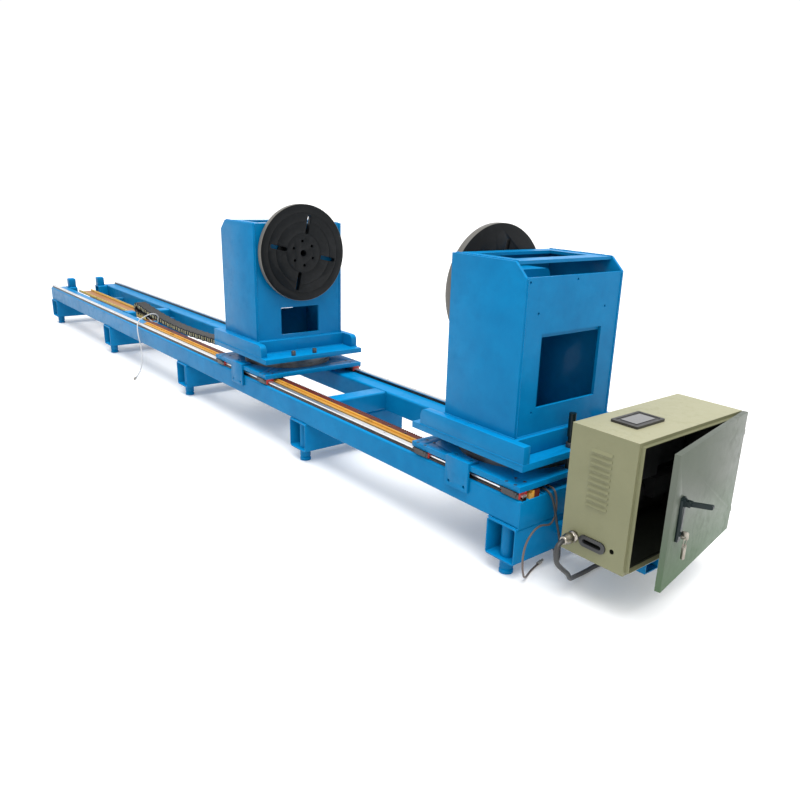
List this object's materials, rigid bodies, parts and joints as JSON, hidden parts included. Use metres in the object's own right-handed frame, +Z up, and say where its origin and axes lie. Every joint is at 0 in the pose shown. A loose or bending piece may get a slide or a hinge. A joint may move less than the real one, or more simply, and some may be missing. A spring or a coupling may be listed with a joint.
{
  "type": "welding positioner",
  "caption": "Head and tail welding positioner: slotted round tables on slewing housings that travel along a rail bed by rack and pinion, with a control cabinet at the bed's end.",
  "frame": {"origin": "on the floor under the centre of the levelling foot at the operator's side of the cabinet end", "axes": "+X along the bed towards the control cabinet, +Y from the operator's side across the bed, +Z up"},
  "size_m": [6.6324, 1.1939, 1.265],
  "materials": {
    "blue_paint": "gloss machine enamel",
    "rail_steel": "ground hardened steel",
    "rack_steel": "oiled dark steel",
    "gold_steel": "yellow passivated bar",
    "yellow_paint": "yellow sheet",
    "chain_plastic": "glass filled nylon",
    "block_black": "blackened steel with dark caps",
    "zinc": "zinc plated",
    "motor_black": "black lacquer",
    "ring_steel": "machined steel with oil",
    "black_oxide": "blackened turned steel",
    "cabinet_beige": "pebble texture powder coat",
    "module_grey": "moulded housings",
    "panel_black": "glass front in a dark bezel",
    "nickel": "nickel plated brass",
    "lock_black": "black coated die casting",
    "rubber_black": "black cord sheath",
    "hose_brown": "brown sheath",
    "hose_grey": "light grey sheath"
  },
  "bodies": {
    "base": {"side_tubes": "blue_paint", "cross_tubes": "blue_paint", "foot_beams": "blue_paint", "levelling_sleeves": "zinc", "levelling_feet": "zinc", "guide_rails": "rail_steel", "gear_rack": "rack_steel", "locating_bar": "gold_steel", "chain_tray": "yellow_paint", "drag_chain": "chain_plastic", "cabinet_arms": "blue_paint", "cabinet_body": "cabinet_beige", "cabinet_modules": "module_grey", "operator_panel": "panel_black", "cable_gland": "nickel", "door_hinges": "zinc", "supply_lead": "rubber_black", "lead_coil": "rubber_black", "lead_plug": "rubber_black", "cable_clip": "block_black", "black_cable": "rubber_black", "brown_hose": "hose_brown", "grey_hose": "hose_grey", "hose_fitting": "nickel"},
    "head_carriage": {"head_carriage_plate": "blue_paint", "head_guide_blocks": "block_black", "head_clamp_bracket": "blue_paint", "head_travel_motor": "motor_black", "head_slew_outer": "ring_steel", "head_chain_bracket": "zinc"},
    "head_pinion_shaft": {"head_pinion": "rail_steel"},
    "head_turntable": {"head_slew_inner": "ring_steel", "head_tray_plate": "blue_paint", "head_tray_bars": "blue_paint", "head_housing_sides": "blue_paint", "head_housing_plates": "blue_paint", "head_bearing_housing": "black_oxide", "head_spindle_motor": "motor_black"},
    "head_table": {"head_faceplate": "black_oxide", "head_spindle": "black_oxide"},
    "tail_carriage": {"tail_carriage_plate": "blue_paint", "tail_guide_blocks": "block_black", "tail_clamp_bracket": "blue_paint", "tail_travel_motor": "motor_black", "tail_slew_outer": "ring_steel"},
    "tail_pinion_shaft": {"tail_pinion": "rail_steel"},
    "tail_turntable": {"tail_slew_inner": "ring_steel", "tail_tray_plate": "blue_paint", "tail_tray_bars": "blue_paint", "tail_housing_sides": "blue_paint", "tail_housing_plates": "blue_paint", "tail_bearing_housing": "black_oxide", "tail_spindle_motor": "motor_black"},
    "tail_table": {"tail_faceplate": "black_oxide", "tail_spindle": "black_oxide"},
    "index_bolt": {"tail_lock_post": "lock_black"},
    "door": {"cabinet_door": "cabinet_beige", "lock_case": "lock_black"},
    "door_cam": {"lock_spindle": "lock_black"},
    "door_lever": {"lock_handle": "lock_black"}
  },
  "joints": [
    {"name": "head_travel", "type": "slide", "parent": "base", "child": "head_carriage", "axis": [1, 0, 0], "range_m": [-1.3, 0.3], "deforming": ["drag_chain"]},
    {"name": "tail_travel", "type": "slide", "parent": "base", "child": "tail_carriage", "axis": [1, 0, 0], "range_m": [-0.45, 0]},
    {"name": "head_pinion_spin", "type": "hinge", "parent": "head_carriage", "child": "head_pinion_shaft", "pos_m": [-2.34704, 0.123, 0.34], "axis": [0, 0, 1], "continuous": true},
    {"name": "tail_pinion_spin", "type": "hinge", "parent": "tail_carriage", "child": "tail_pinion_shaft", "pos_m": [-0.4935, 0.123, 0.34], "axis": [0, 0, 1], "continuous": true},
    {"name": "head_slew", "type": "hinge", "parent": "head_carriage", "child": "head_turntable", "pos_m": [-2.092, 0.268, 0.415], "axis": [0, 0, 1], "range_deg": [-90, 90]},
    {"name": "tail_slew", "type": "hinge", "parent": "tail_carriage", "child": "tail_turntable", "pos_m": [-0.2315, 0.268, 0.415], "axis": [0, 0, 1], "range_deg": [0, 180]},
    {"name": "head_spin", "type": "hinge", "parent": "head_turntable", "child": "head_table", "pos_m": [-2.092, 0.268, 1.007], "axis": [1, 0, 0], "continuous": true},
    {"name": "tail_spin", "type": "hinge", "parent": "tail_turntable", "child": "tail_table", "pos_m": [-0.2315, 0.268, 1.007], "axis": [1, 0, 0], "continuous": true},
    {"name": "index_bolt_slide", "type": "slide", "parent": "tail_turntable", "child": "index_bolt", "axis": [0, 0, 1], "range_m": [-0.024, 0]},
    {"name": "door_swing", "type": "hinge", "parent": "base", "child": "door", "pos_m": [0.491, 0.688, 0.42], "axis": [0, 0, 1], "range_deg": [-10.2, 100]},
    {"name": "door_cam_turn", "type": "hinge", "parent": "door", "child": "door_cam", "pos_m": [0.60812, 0.12179, 0.482], "axis": [0.9842, 0.1771, 0], "range_deg": [-90, 0]},
    {"name": "door_lever_fold", "type": "hinge", "parent": "door_cam", "child": "door_lever", "pos_m": [0.63075, 0.12586, 0.482], "axis": [-0.1771, 0.9842, 0], "range_deg": [0, 98]}
  ],
  "couplings": [
    {"joint": "head_pinion_spin", "follows": "head_travel", "rad_per_m": -20},
    {"joint": "tail_pinion_spin", "follows": "tail_travel", "rad_per_m": -20}
  ]
}
